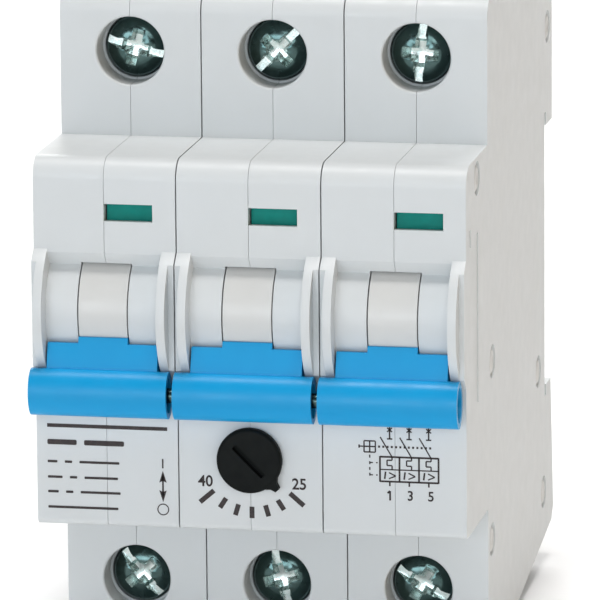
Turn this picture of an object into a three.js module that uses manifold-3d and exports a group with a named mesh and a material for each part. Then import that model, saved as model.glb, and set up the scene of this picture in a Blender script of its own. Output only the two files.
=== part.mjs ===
// Three-pole motor protection breaker for a 35 mm mounting rail, in millimetres, +Z up.
// Origin: on the rail face (Y = 0), at the rail's centre line (Z = 0), mid width (X = 0).
// The front points to -Y. Each pole is 17.5 mm wide and is held by two half shells.
import * as THREE from 'three';
import { mergeVertices } from 'three/addons/utils/BufferGeometryUtils.js';
import Module from 'manifold-3d';

// ---- driving dimensions --------------------------------------------------------------------
const POLES = 3;
const PITCH = 17.5;            // one module
const POLE_GAP = 0.2;          // between neighbouring poles
const SEAM_GAP = 0.2;          // between the two half shells of one pole
const WALL = 1.5;
const CLEAR = 0.3;             // running clearance

const NOSE_Y = -60;            // front plane of the nose, from the rail face
const NOSE_HALF = 22.4;        // half height of the nose
const SHOULDER_Y = -44.3;      // front plane of the terminal shoulders
const HALF_HEIGHT = 40;
const SHOULDER_WALL = 6.3;     // thickness of the shoulder around the screw holes
const EDGE_R = 2.6;            // rounding of the front top edges
const SMALL_R = 0.8;           // rounding of the lower edges

const RAIL_LIP = 1.2;          // from the rail face to the hooks that hold the rail's flange
const HOOK_TOP_Z = 16.2;
const HOOK_LOW_Z = -16.9;
const UNDERCUT = 18.3;         // half height of the slot for the 35 mm rail
const HOOK_BACK = 6.1;
const LATCH_BACK = 7.1;
const TAPER_TOP_Z = -34;       // the back's lower end slopes forward from here to the bottom
const TAPER_Z = -35.6;
const TAPER_Y = -23;

const PIVOT = { y: -54.4, z: 3.7 };   // axis of the toggles
const DRUM_R = 7.07;
const DRUM_HALF = 2.75;
const CHEEK_IN = DRUM_HALF + CLEAR;   // the fixed cheeks run from here to the ears
const CHEEK_DEG = [127.5, 252];       // the cheek's upper and lower end, as angles about the axis
const RECESS_TOP = 11;                // the recess's mouth in the nose's front
const RECESS_LOW = -6.6;
const EAR_IN = 6.95;
const EAR_OUT = 8;
const EAR_R = 9.5;
const PAD_PROUD = 1.45;        // the flat pad outside each ear stands this far off the nose
const AXLE = { radius: 1.5, end: 5, bore: 1.8, boreEnd: 5.4 };   // stub axles of the drum
const NOTCH = { inner: 3.6, degrees: [199, 252.5] };             // the drum's seat for the tongue
const TONGUE = { inner: 4, degrees: [202, 249.5] };
const ROOT_DEG = [207.7, 246];        // where the paddle faces the cheeks
const PADDLE_HALF = 6.7;
const BAR_LEFT = -8.55;        // ends of the grip bar, from the pole's middle
const BAR_RIGHT = 8.2;
const BAR = { y: -62.5, z: -5.5, depth: 4.2, height: 5.7 };
const BAR_HOLLOW = { y: BAR.y, z: BAR.z, depth: 2.9, height: 4.1 };
const HOLLOW_DEPTH = 1.6;      // of the hollows in the bar's ends
const PIN_R = 0.9;
const PIN_SHORT = 0.9;         // the tie pin ends this far inside the outer bars

const WINDOW = { x0: -0.5, x1: 5.9, z0: 14.9, z1: 17.0 };      // contact position window
const FLAG = { x0: 0.35, x1: 6.2, z0: 14.4, z1: 20.1 };
const FLAG_DEPTH = { front: NOSE_Y + 1.1, back: NOSE_Y + 1.9, arm: NOSE_Y + 5 };

const SCREW_Z = 32.75;
const SCREW_HOLE_R = 4.3;
const HEAD_R = 3.7;
const HEAD_TOP_Y = -40.9;
const HEAD_BASE_Y = -38.5;
const SHANK_R = 1.7;
const SHANK_TIP_Y = -29.8;

const BAR_STRIP = { front: -29.5, back: -27.7, half: 3.8 };   // terminal strips of copper
const CAGE = { half: 5.4, front: -33, windowFront: -30, windowBack: -20.5, back: -18.5 };
const CAGE_LENGTH = 9;
const WIRE = { half: 4.3, front: -28.2, back: -20.6 };   // wire entries in top and bottom

const DIAL = { z: -13.5, radius: 3.95, proud: 1.3, shaft: 2.2, shaftLength: 4.6, restDeg: 45 };
const CAM = { off: 0.8, radius: 1.2, length: 2.4 };      // off-centre pin behind the dial
const DIAL_SLOT = { half: 2.6, width: 0.8, depth: 1 };
const CLIP = { half: 3.7, front: 1.6, back: 4.4, low: -38.6, high: -16.6 };
const CLIP_SLOT = { half: 2.6, low: -37.4, high: -35.6 };   // for a screwdriver's tip
const CLIP_RIB = { half: 3.2, low: -35, high: -33, proud: 1.2 };
const CLIP_CHANNEL_TOP = -16;

const FIXED_CONTACT = { y: -22.6, low: 19.9, radius: 1.9 };
const LINE_FOOT = { low: 21, high: 22.6, back: -20.4 };     // the strip's end over the contact
const LOAD_FOOT = { low: -24.2, high: -22.6, front: -34 };
const STRIP_END = 38.1;
const ARM_PIVOT = { y: -36, z: 5, radius: 2.3, half: 2.6 };
const ARM_TIP = { y: -22.6, z: 18.1 };
const ARM_HALF = 1.6;
const ARM_OPEN_DEG = -16;      // the contact arm's angle in the OFF position
const MOVING_CONTACT_R = 1.7;
const CHUTE = { half: 5, front: -16, back: -5, spine: 0.6, low: -1, high: 15, pitch: 2.2, sheet: 0.9 };
const COIL = { y: -30, low: -17.5, length: 10.5, bore: 1.9, winding: 4.4, flange: 5, flangeT: 1 };
const PLUNGER = { radius: 1.5, head: 2.4, headT: 1.6, reach: 3 };
const BIMETAL_STRIP = { half: 2.5, front: -46.6, foot: -40, low: -20.4, high: -10, sheet: 0.8 };
const TRIP_BAR = { y: -50, z: -8, radius: 1.2, clear: 0.5, half: PITCH + 4 };
const TRIP_FIN = { half: 2, front: 0.2, back: 1, height: 5 };
const RIVETS = [
  { name: 'rivet_rear_top', y: 2.1, z: 28.3 },
  { name: 'rivet_nose_top', y: -52, z: 19.2 },
  { name: 'rivet_middle', y: -41, z: -5.5 },
  { name: 'rivet_rear_low', y: -5.2, z: -14.1 },
  { name: 'rivet_shoulder_low', y: -41.2, z: -26.6 },
];
const RIVET_R = 1.2;
const RIVET_HEAD_R = 1.6;
const RIVET_HEAD_T = 0.5;
const RIVET_SUNK = 0.05;       // the heads lie this far below the sides

// ---- materials -----------------------------------------------------------------------------
const finish = (color, roughness, metalness = 0) =>
  new THREE.MeshStandardMaterial({ color, roughness, metalness });
const HOUSING = finish(0xd2d6d6, 0.45);
const DRUM_WHITE = finish(0xdcdedc, 0.4);
const BLUE = finish(0x2094d8, 0.38);
const GREEN = finish(0x168c7f, 0.5);
const BLACK = finish(0x23262a, 0.5);
const NICKEL = finish(0xb9bdbc, 0.28, 1);
const STEEL = finish(0x8d9192, 0.4, 1);
const COPPER = finish(0xb87043, 0.35, 1);
const BIMETAL = finish(0xa9a49a, 0.35, 1);
const PLASTIC_GREY = finish(0x55595c, 0.6);

// ---- solid modelling helpers ---------------------------------------------------------------
const wasm = await Module();
wasm.setup();

function toSolid(geometry) {
  const g = geometry.clone();
  g.deleteAttribute('normal');
  g.deleteAttribute('uv');
  const merged = mergeVertices(g, 1e-4);
  return new wasm.Manifold(new wasm.Mesh({
    numProp: 3,
    vertProperties: new Float32Array(merged.attributes.position.array),
    triVerts: new Uint32Array(merged.index.array),
  }));
}

function toGeometry(solid) {
  const mesh = solid.getMesh();
  const g = new THREE.BufferGeometry();
  g.setAttribute('position', new THREE.BufferAttribute(new Float32Array(mesh.vertProperties), 3));
  g.setIndex(new THREE.BufferAttribute(new Uint32Array(mesh.triVerts), 1));
  return g;
}

const join = (first, ...others) => others.reduce((sum, part) => sum.add(part), first);
const cut = (first, ...others) => others.reduce((rest, part) => rest.subtract(part), first);

// A box from its two opposite corners.
function box(x0, x1, y0, y1, z0, z1) {
  const g = new THREE.BoxGeometry(Math.abs(x1 - x0), Math.abs(y1 - y0), Math.abs(z1 - z0));
  g.translate((x0 + x1) / 2, (y0 + y1) / 2, (z0 + z1) / 2);
  return toSolid(g);
}

// An outline of [y, z] points, extruded along X from x0 to x1.
const ALONG_X = new THREE.Matrix4().makeBasis(
  new THREE.Vector3(0, 1, 0), new THREE.Vector3(0, 0, 1), new THREE.Vector3(1, 0, 0));

function prism(outline, x0, x1) {
  const shape = new THREE.Shape(outline.map(([y, z]) => new THREE.Vector2(y, z)));
  const low = Math.min(x0, x1);
  const g = new THREE.ExtrudeGeometry(shape, { depth: Math.abs(x1 - x0), bevelEnabled: false });
  g.applyMatrix4(ALONG_X);
  g.translate(low, 0, 0);
  return toSolid(g);
}

// Points of an arc in the YZ plane; angles in degrees, 0 towards +Y and 90 towards +Z.
function arc(y, z, radius, fromDeg, toDeg, steps) {
  return Array.from({ length: steps + 1 }, (_, i) => {
    const a = THREE.MathUtils.degToRad(fromDeg + ((toDeg - fromDeg) * i) / steps);
    return [y + radius * Math.cos(a), z + radius * Math.sin(a)];
  });
}

function ellipse(centre, steps) {
  return Array.from({ length: steps }, (_, i) => {
    const a = (2 * Math.PI * i) / steps;
    return [centre.y + (centre.depth / 2) * Math.cos(a), centre.z + (centre.height / 2) * Math.sin(a)];
  });
}

// A round bar along X, about the point (y, z).
const disc = (y, z, radius, x0, x1, steps = 14) =>
  prism(arc(y, z, radius, 0, 360 - 360 / steps, steps - 1), x0, x1);

// A round bar along Y or Z, about the other two coordinates.
function rodY(x, z, radius, y0, y1, steps = 16) {
  const g = new THREE.CylinderGeometry(radius, radius, Math.abs(y1 - y0), steps);
  g.translate(x, (y0 + y1) / 2, z);
  return toSolid(g);
}

function rodZ(x, y, radius, z0, z1, steps = 16) {
  const g = new THREE.CylinderGeometry(radius, radius, Math.abs(z1 - z0), steps);
  g.rotateX(Math.PI / 2);
  g.translate(x, y, (z0 + z1) / 2);
  return toSolid(g);
}

// A turned body about the Y axis, from [radius, y] points.
const lathe = (profile, steps) =>
  toSolid(new THREE.LatheGeometry(profile.map(([r, y]) => new THREE.Vector2(r, y)), steps));

function part(name, solid, material) {
  const mesh = new THREE.Mesh(toGeometry(solid), material);
  mesh.name = name;
  return mesh;
}

// ---- housing -------------------------------------------------------------------------------
// The side outline of the housing, anticlockwise seen from +X. frontOfNose holds the points of
// the nose's front, from its top to its foot.
function housingOutline(frontOfNose) {
  return [
    [LATCH_BACK - 2.2, HOOK_LOW_Z],
    [RAIL_LIP, HOOK_LOW_Z],
    [RAIL_LIP, -UNDERCUT],
    [0, -UNDERCUT],
    [0, UNDERCUT],
    [RAIL_LIP, UNDERCUT],
    [RAIL_LIP, HOOK_TOP_Z],
    [HOOK_BACK, HOOK_TOP_Z],
    [HOOK_BACK, HALF_HEIGHT],
    ...arc(SHOULDER_Y + EDGE_R, HALF_HEIGHT - EDGE_R, EDGE_R, 90, 180, 4),
    [SHOULDER_Y, NOSE_HALF],
    ...arc(NOSE_Y + EDGE_R, NOSE_HALF - EDGE_R, EDGE_R, 90, 180, 4),
    ...frontOfNose,
    ...arc(NOSE_Y + SMALL_R, -NOSE_HALF + SMALL_R, SMALL_R, 180, 270, 2),
    [SHOULDER_Y, -NOSE_HALF],
    ...arc(SHOULDER_Y + SMALL_R, -HALF_HEIGHT + SMALL_R, SMALL_R, 180, 270, 2),
    [TAPER_Y, -HALF_HEIGHT],
    [LATCH_BACK - 1.5, TAPER_Z],
    [LATCH_BACK, TAPER_TOP_Z],
  ];
}

// The handle recess: a sloped lip above, the round cheek, and a sloped lip below.
function recessFront() {
  return [
    [NOSE_Y, RECESS_TOP],
    ...arc(PIVOT.y, PIVOT.z, DRUM_R, ...CHEEK_DEG, 12),
    [NOSE_Y, RECESS_LOW],
  ];
}

// Half the angle of the ear's arc that stands more than this far off the nose's front.
const earHalfAngle = (proud) =>
  THREE.MathUtils.radToDeg(Math.acos((PIVOT.y - NOSE_Y + proud) / EAR_R));

// The raised ear beside the recess, round about the toggle's axis.
function earFront() {
  const meet = earHalfAngle(0);
  return arc(PIVOT.y, PIVOT.z, EAR_R, 180 - meet, 180 + meet, 10);
}

// The pad outside the ear: the ear's own arc, cut flat.
function padFront() {
  const [meet, flat] = [earHalfAngle(0), earHalfAngle(PAD_PROUD)];
  return [
    ...arc(PIVOT.y, PIVOT.z, EAR_R, 180 - meet, 180 - flat, 2),
    ...arc(PIVOT.y, PIVOT.z, EAR_R, 180 + flat, 180 + meet, 2),
  ];
}

const INSIDE = [
  [NOSE_Y + WALL, -NOSE_HALF + WALL],
  [SHOULDER_Y + SHOULDER_WALL, -NOSE_HALF + WALL],
  [SHOULDER_Y + SHOULDER_WALL, -HALF_HEIGHT + WALL],
  [TAPER_Y + 1, -HALF_HEIGHT + WALL],
  [-WALL, TAPER_Z + 1],
  [-WALL, HALF_HEIGHT - WALL],
  [SHOULDER_Y + SHOULDER_WALL, HALF_HEIGHT - WALL],
  [SHOULDER_Y + SHOULDER_WALL, NOSE_HALF - WALL],
  [NOSE_Y + WALL, NOSE_HALF - WALL],
];

// One half shell. side is -1 (left) or +1 (right); x = 0 is the pole's middle plane.
// outermost is true where no other pole stands beside this shell.
function halfShell(side, outermost, hasDial) {
  const seam = side * (SEAM_GAP / 2);
  const outer = side * (PITCH / 2 - (outermost ? 0 : POLE_GAP / 2));
  const innerWall = side * (PITCH / 2 - WALL);
  const drumFace = side * CHEEK_IN;
  let shell = join(
    prism(housingOutline(recessFront()), seam, side * EAR_IN),
    prism(housingOutline(earFront()), side * EAR_IN, side * EAR_OUT),
    prism(housingOutline(padFront()), side * EAR_OUT, outer));
  shell = cut(shell, prism(INSIDE, 0, innerWall));
  shell = join(shell, disc(PIVOT.y, PIVOT.z, DRUM_R - 0.02, drumFace, innerWall + side * 0.2, 28));
  shell = cut(shell,
    disc(PIVOT.y, PIVOT.z, DRUM_R + CLEAR, 0, drumFace, 28),
    disc(PIVOT.y, PIVOT.z, AXLE.bore, 0, side * AXLE.boreEnd, 10));
  for (const end of [-1, 1]) {
    shell = cut(shell,
      rodY(0, end * SCREW_Z, SCREW_HOLE_R, SHOULDER_Y - 1, SHOULDER_Y + SHOULDER_WALL + 1, 24),
      box(0, side * WIRE.half, WIRE.front, WIRE.back, end * (HALF_HEIGHT - 3), end * (HALF_HEIGHT + 1)));
  }
  shell = cut(shell,
    box(0, side * (CLIP.half + CLEAR), RAIL_LIP, LATCH_BACK + 2, -HALF_HEIGHT - 2, CLIP_CHANNEL_TOP));
  if (side > 0) shell = cut(shell, flagWindow());
  if (hasDial) shell = cut(shell, rodY(0, DIAL.z, DIAL.shaft + CLEAR, NOSE_Y - 1, NOSE_Y + 4, 16));
  return cut(shell, ...crossHoles(side, outer, outermost));
}

// The holes that run through the sides: for the rivets and, between poles, for the trip bar.
function crossHoles(side, outer, outermost) {
  const holes = RIVETS.map(({ y, z }) => disc(y, z, RIVET_R + CLEAR, 0, outer + side, 10));
  if (outermost) {
    const floor = outer - side * (RIVET_HEAD_T + CLEAR);
    for (const { y, z } of RIVETS) holes.push(disc(y, z, RIVET_HEAD_R + CLEAR, floor, outer + side, 14));
  } else {
    const innerWall = side * (PITCH / 2 - WALL);
    const radius = TRIP_BAR.radius + TRIP_BAR.clear;
    holes.push(disc(TRIP_BAR.y, TRIP_BAR.z, radius, innerWall - side, outer + side, 12));
  }
  return holes;
}

// The contact position window, with room for the flag to slide behind it.
function flagWindow() {
  const inside = NOSE_Y + 2 * WALL;
  const [roomLow, roomHigh] = [FLAG.z0 - 3.2, FLAG.z1 + 0.5];
  return join(
    box(WINDOW.x0, WINDOW.x1, NOSE_Y - 1, inside, WINDOW.z0, WINDOW.z1),
    box(WINDOW.x0, FLAG.x1 + 2 * CLEAR, FLAG_DEPTH.front - CLEAR, inside, roomLow, roomHigh));
}

// ---- toggle, drum and tie pin --------------------------------------------------------------
const sector = (r0, r1, fromDeg, toDeg, steps) => [
  ...arc(PIVOT.y, PIVOT.z, r1, fromDeg, toDeg, steps),
  ...arc(PIVOT.y, PIVOT.z, r0, toDeg, fromDeg, Math.max(2, steps - 2)),
];

function drum() {
  const body = disc(PIVOT.y, PIVOT.z, DRUM_R, -DRUM_HALF, DRUM_HALF, 36);
  const notch = sector(NOTCH.inner, DRUM_R + 2, ...NOTCH.degrees, 6);
  const axle = disc(PIVOT.y, PIVOT.z, AXLE.radius, -AXLE.end, AXLE.end, 12);
  return join(cut(body, prism(notch, -DRUM_HALF - 1, DRUM_HALF + 1)), axle);
}

// The paddle springs from the drum and carries the grip bar, whose ends are hollow.
function toggle() {
  const gap = DRUM_R + CLEAR + 0.03;
  const root = arc(PIVOT.y, PIVOT.z, gap, ...ROOT_DEG, 6);
  const paddle = [...root, [-60.7, -5.4], [BAR.y, BAR.z], [-62.2, -2.4], [-61.47, 0.27]];
  const tongue = sector(TONGUE.inner, gap + 0.25, ...TONGUE.degrees, 6);
  const hollow = ellipse(BAR_HOLLOW, 16);
  let lever = join(
    prism(paddle, -PADDLE_HALF, PADDLE_HALF),
    prism(ellipse(BAR, 20), BAR_LEFT, BAR_RIGHT),
    prism(tongue, -DRUM_HALF + 0.1, DRUM_HALF - 0.1));
  for (const [side, end] of [[-1, BAR_LEFT], [1, BAR_RIGHT]]) {
    lever = cut(lever,
      disc(PIVOT.y, PIVOT.z, EAR_R + CLEAR + 0.05, side * (PADDLE_HALF + 0.1), end + side, 48),
      prism(hollow, end - side * HOLLOW_DEPTH, end + side));
  }
  return cut(lever, disc(BAR.y, BAR.z, PIN_R + CLEAR, BAR_LEFT - 1, BAR_RIGHT + 1, 12));
}

function tiePin() {
  const half = PITCH + BAR_RIGHT - PIN_SHORT;
  return disc(BAR.y, BAR.z, PIN_R, -half, half, 12);
}

// ---- position flag and dial ----------------------------------------------------------------
const positionFlag = () => join(
  box(FLAG.x0, FLAG.x1, FLAG_DEPTH.front, FLAG_DEPTH.back, FLAG.z0, FLAG.z1),
  box(1, 2.2, FLAG_DEPTH.back, FLAG_DEPTH.arm, FLAG.z1 - 1.9, FLAG.z1));

function dial() {
  const top = NOSE_Y - DIAL.proud;
  const base = NOSE_Y - CLEAR;
  const shaftEnd = NOSE_Y + DIAL.shaftLength;
  const knob = lathe([
    [0, top], [DIAL.radius - 0.4, top], [DIAL.radius, top + 0.4], [DIAL.radius, base],
    [DIAL.shaft, base], [DIAL.shaft, shaftEnd], [0, shaftEnd]], 28);
  const cam = rodY(CAM.off, 0, CAM.radius, shaftEnd - 0.1, shaftEnd + CAM.length, 12);
  const { half, width, depth } = DIAL_SLOT;
  const slot = box(-half, half, top - 1, top + depth, -width / 2, width / 2);
  return cut(join(knob, cam, pointer(base)), slot);
}

// The blunt tooth on the dial's rim that points at the scale.
function pointer(base) {
  const [foot, tip] = [DIAL.radius - 1, DIAL.radius + 1];
  const outline = [[foot, -0.9], [tip, -0.2], [tip, 0.2], [foot, 0.9]];
  const shape = new THREE.Shape(outline.map(([x, z]) => new THREE.Vector2(x, z)));
  const tooth = new THREE.ExtrudeGeometry(shape, { depth: 1, bevelEnabled: false });
  tooth.rotateX(Math.PI / 2);
  tooth.translate(0, base, 0);
  return toSolid(tooth);
}

// ---- terminals -----------------------------------------------------------------------------
function terminalScrew() {
  const profile = [
    [0, HEAD_TOP_Y], [2.2, HEAD_TOP_Y + 0.25], [3.3, HEAD_TOP_Y + 0.9],
    [HEAD_R, HEAD_TOP_Y + 1.5], [HEAD_R, HEAD_BASE_Y], [SHANK_R, HEAD_BASE_Y],
    [SHANK_R, SHANK_TIP_Y - 0.5], [SHANK_R - 0.5, SHANK_TIP_Y], [0, SHANK_TIP_Y],
  ];
  return cut(lathe(profile, 18),
    box(-4.5, 4.5, HEAD_TOP_Y - 1, HEAD_TOP_Y + 1.2, -0.5, 0.5),
    box(-0.6, 0.6, HEAD_TOP_Y - 1, HEAD_TOP_Y + 1.7, -2.3, 2.3));
}

const clampCage = (end) => {
  const z0 = end * (SCREW_Z - CAGE_LENGTH / 2);
  const z1 = end * (SCREW_Z + CAGE_LENGTH / 2);
  return cut(box(-CAGE.half, CAGE.half, CAGE.front, CAGE.back, z0, z1),
    box(-WIRE.half, WIRE.half, CAGE.windowFront, CAGE.windowBack, z0 - end, z1 + end),
    rodY(0, end * SCREW_Z, SHANK_R + CLEAR, CAGE.front - 1, CAGE.windowFront + 1, 16));
};

const strip = (z0, z1) =>
  box(-BAR_STRIP.half, BAR_STRIP.half, BAR_STRIP.front, BAR_STRIP.back, z0, z1);

const lineBar = () => join(strip(LINE_FOOT.low, STRIP_END),
  box(-BAR_STRIP.half, BAR_STRIP.half, BAR_STRIP.front, LINE_FOOT.back, LINE_FOOT.low, LINE_FOOT.high),
  rodZ(0, FIXED_CONTACT.y, FIXED_CONTACT.radius, FIXED_CONTACT.low, LINE_FOOT.low + 0.5, 14));

const loadBar = () => join(strip(-STRIP_END, LOAD_FOOT.high),
  box(-BAR_STRIP.half, BAR_STRIP.half, LOAD_FOOT.front, BAR_STRIP.back, LOAD_FOOT.low, LOAD_FOOT.high));

// ---- contact, arc chute and trip unit ------------------------------------------------------
// The arm is drawn closed, and turned to its open angle about its pivot.
function contactArm() {
  const arm = [
    [ARM_PIVOT.y - 1, ARM_PIVOT.z + 2], [ARM_PIVOT.y + 1.6, ARM_PIVOT.z - 1.6],
    [ARM_TIP.y + 1.9, ARM_TIP.z - 1.4], [ARM_TIP.y + 1.9, ARM_TIP.z], [ARM_TIP.y - 1.9, ARM_TIP.z]];
  const g = toGeometry(join(
    prism(arm, -ARM_HALF, ARM_HALF),
    disc(ARM_PIVOT.y, ARM_PIVOT.z, ARM_PIVOT.radius, -ARM_PIVOT.half, ARM_PIVOT.half, 16),
    rodZ(0, ARM_TIP.y, MOVING_CONTACT_R, ARM_TIP.z - 0.5, ARM_TIP.z + 1.4, 10)));
  g.translate(0, -ARM_PIVOT.y, -ARM_PIVOT.z);
  g.rotateX(THREE.MathUtils.degToRad(ARM_OPEN_DEG));
  g.translate(0, ARM_PIVOT.y, ARM_PIVOT.z);
  return g;
}

// Splitter sheets on a common spine.
function arcChute() {
  const { half, front, back, spine, low, high, pitch, sheet } = CHUTE;
  let stack = box(-half, half, back - 0.2, back - 0.2 + spine, low, high);
  for (let z = low; z < high; z += pitch) {
    stack = join(stack, box(-half, half, front, back, z, z + sheet));
  }
  return stack;
}

// The winding on its flanged former, about a bore for the plunger.
function tripCoil() {
  const { bore, winding, flange, flangeT, length } = COIL;
  const profile = [
    [bore, 0], [flange, 0], [flange, flangeT], [winding, flangeT], [winding, length - flangeT],
    [flange, length - flangeT], [flange, length], [bore, length], [bore, 0]];
  const g = new THREE.LatheGeometry(profile.map(([r, h]) => new THREE.Vector2(r, h)), 14);
  g.rotateX(Math.PI / 2);
  g.translate(0, COIL.y, COIL.low);
  return toSolid(g);
}

function plunger() {
  const headTop = COIL.low + COIL.length + PLUNGER.reach + 1;
  return join(
    rodZ(0, COIL.y, PLUNGER.radius, COIL.low - PLUNGER.reach, headTop - 1, 12),
    rodZ(0, COIL.y, PLUNGER.head, headTop - PLUNGER.headT, headTop, 12));
}

function bimetalStrip() {
  const { half, front, foot, low, high, sheet } = BIMETAL_STRIP;
  return join(box(-half, half, front, front + sheet, low, high),
    box(-half, half, front, foot, low, low + sheet));
}

function tripBar() {
  const { y, z, radius, half } = TRIP_BAR;
  let bar = disc(y, z, radius, -half, half, 12);
  const depth = [y - TRIP_FIN.front, y + TRIP_FIN.back];
  for (const x of [-PITCH, 0, PITCH]) {
    bar = join(bar, box(x - TRIP_FIN.half, x + TRIP_FIN.half, ...depth, z - TRIP_FIN.height, z));
  }
  return bar;
}

// ---- rail clip and rivets ------------------------------------------------------------------
function railClip() {
  const { half, front, back, low, high } = CLIP;
  const rib = [CLIP_RIB.low, CLIP_RIB.high];
  return cut(
    join(box(-half, half, front, back, low, high),
      box(-CLIP_RIB.half, CLIP_RIB.half, back - 0.2, back + CLIP_RIB.proud, ...rib)),
    box(-CLIP_SLOT.half, CLIP_SLOT.half, front - 1.6, back + 2.6, CLIP_SLOT.low, CLIP_SLOT.high));
}

function rivet({ y, z }) {
  const half = (POLES * PITCH) / 2;
  const end = half - RIVET_SUNK;
  return join(disc(y, z, RIVET_R, -end, end, 10),
    disc(y, z, RIVET_HEAD_R, -end, -half + RIVET_HEAD_T, 14),
    disc(y, z, RIVET_HEAD_R, half - RIVET_HEAD_T, end, 14));
}

// ---- assembly ------------------------------------------------------------------------------
// The angle in degrees at which each terminal screw's slot stands.
const SLOT_TURNS = {
  line: [165, 225, 265],
  load: [-50, -75, -30],
};

function pole(index) {
  const group = new THREE.Group();
  group.position.x = (index - (POLES - 1) / 2) * PITCH;
  const name = (base) => `${base}_${index + 1}`;
  const middle = index === 1;
  group.add(
    part(name('left_shell'), halfShell(-1, index === 0, middle), HOUSING),
    part(name('right_shell'), halfShell(1, index === POLES - 1, middle), HOUSING),
    part(name('toggle'), toggle(), BLUE),
    part(name('toggle_drum'), drum(), DRUM_WHITE),
    part(name('position_flag'), positionFlag(), GREEN),
    part(name('line_cage'), clampCage(1), STEEL),
    part(name('load_cage'), clampCage(-1), STEEL),
    part(name('line_bar'), lineBar(), COPPER),
    part(name('load_bar'), loadBar(), COPPER),
    part(name('arc_chute'), arcChute(), STEEL),
    part(name('trip_coil'), tripCoil(), COPPER),
    part(name('trip_plunger'), plunger(), STEEL),
    part(name('bimetal_strip'), bimetalStrip(), BIMETAL),
    part(name('rail_clip'), railClip(), PLASTIC_GREY));
  for (const [end, sign] of [['line', 1], ['load', -1]]) {
    const screw = part(name(`${end}_screw`), terminalScrew(), NICKEL);
    screw.position.z = sign * SCREW_Z;
    screw.rotation.y = -THREE.MathUtils.degToRad(SLOT_TURNS[end][index]);
    group.add(screw);
  }
  const arm = new THREE.Mesh(contactArm(), COPPER);
  arm.name = name('contact_arm');
  group.add(arm);
  return group;
}

const breaker = new THREE.Group();
for (let index = 0; index < POLES; index += 1) breaker.add(pole(index));

const dialMesh = part('current_dial', dial(), BLACK);
dialMesh.position.z = DIAL.z;
dialMesh.rotation.y = THREE.MathUtils.degToRad(DIAL.restDeg);
breaker.add(dialMesh);
breaker.add(part('handle_tie_pin', tiePin(), NICKEL));
breaker.add(part('trip_bar', tripBar(), BLACK));
for (const place of RIVETS) breaker.add(part(place.name, rivet(place), NICKEL));

export default breaker;
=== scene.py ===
"""Looks of the three-pole motor protection breaker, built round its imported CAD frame.

Lengths are in millimetres, in the frame's own axes: +Z up, -Y to the front, X = 0 at mid
width and Y = 0 on the rail face. Meshes are scaled to metres when they are made.
"""
import math

import bmesh
import bpy
from mathutils import Matrix, Vector


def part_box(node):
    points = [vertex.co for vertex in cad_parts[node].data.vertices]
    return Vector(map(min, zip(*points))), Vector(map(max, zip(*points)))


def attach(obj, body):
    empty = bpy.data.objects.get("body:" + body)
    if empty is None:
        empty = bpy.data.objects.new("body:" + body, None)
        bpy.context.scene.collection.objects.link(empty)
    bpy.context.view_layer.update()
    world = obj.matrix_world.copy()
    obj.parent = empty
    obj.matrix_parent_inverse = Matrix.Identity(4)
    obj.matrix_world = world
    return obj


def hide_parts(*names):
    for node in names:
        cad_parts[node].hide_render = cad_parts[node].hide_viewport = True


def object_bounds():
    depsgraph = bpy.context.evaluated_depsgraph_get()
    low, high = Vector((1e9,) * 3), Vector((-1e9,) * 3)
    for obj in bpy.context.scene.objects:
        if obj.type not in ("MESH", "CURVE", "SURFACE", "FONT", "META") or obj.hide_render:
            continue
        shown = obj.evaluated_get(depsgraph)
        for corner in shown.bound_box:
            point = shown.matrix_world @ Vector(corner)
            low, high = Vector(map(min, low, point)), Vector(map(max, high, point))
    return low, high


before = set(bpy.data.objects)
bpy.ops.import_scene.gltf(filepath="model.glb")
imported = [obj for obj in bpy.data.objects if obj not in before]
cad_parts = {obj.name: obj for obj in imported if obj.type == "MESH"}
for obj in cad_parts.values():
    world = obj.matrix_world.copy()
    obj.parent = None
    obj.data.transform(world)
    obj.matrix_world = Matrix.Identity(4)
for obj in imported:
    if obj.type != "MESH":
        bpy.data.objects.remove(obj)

CAD_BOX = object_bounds()
MM = 0.001

# ---- dimensions, in millimetres -----------------------------------------------------------------
PITCH = 17.5
POLE_X = (-PITCH, 0.0, PITCH)
SEAM = 0.025                  # half the gap between the half shells of a pole
POLE_FACE = 8.67              # from a pole's middle to its side
OUTER_WALL = 8.6              # the same at the device's own two sides
WALL = 1.5
CLEAR = 0.3                   # between a moving piece and the housing

NOSE_Y = -60.0
NOSE_HALF = 22.4
SHOULDER_Y = -44.3
HALF_HEIGHT = 40.0
SHOULDER_WALL = 6.3           # thick, to hold the screws' holes
EDGE_R = 2.6                  # the long rounded edges at the top of the nose and the shoulder
SMALL_R = 0.8                 # the same at the bottom
RAIL_LIP, UNDERCUT = 1.2, 18.3               # depth and half height of the slot for the rail's edges
HOOK_TOP_Z, HOOK_LOW_Z = 16.6, -16.9         # the edges of the two hooks over the rail
HOOK_BACK, LATCH_BACK = 6.1, 7.1             # how far back the hook and the latch below it reach

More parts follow.
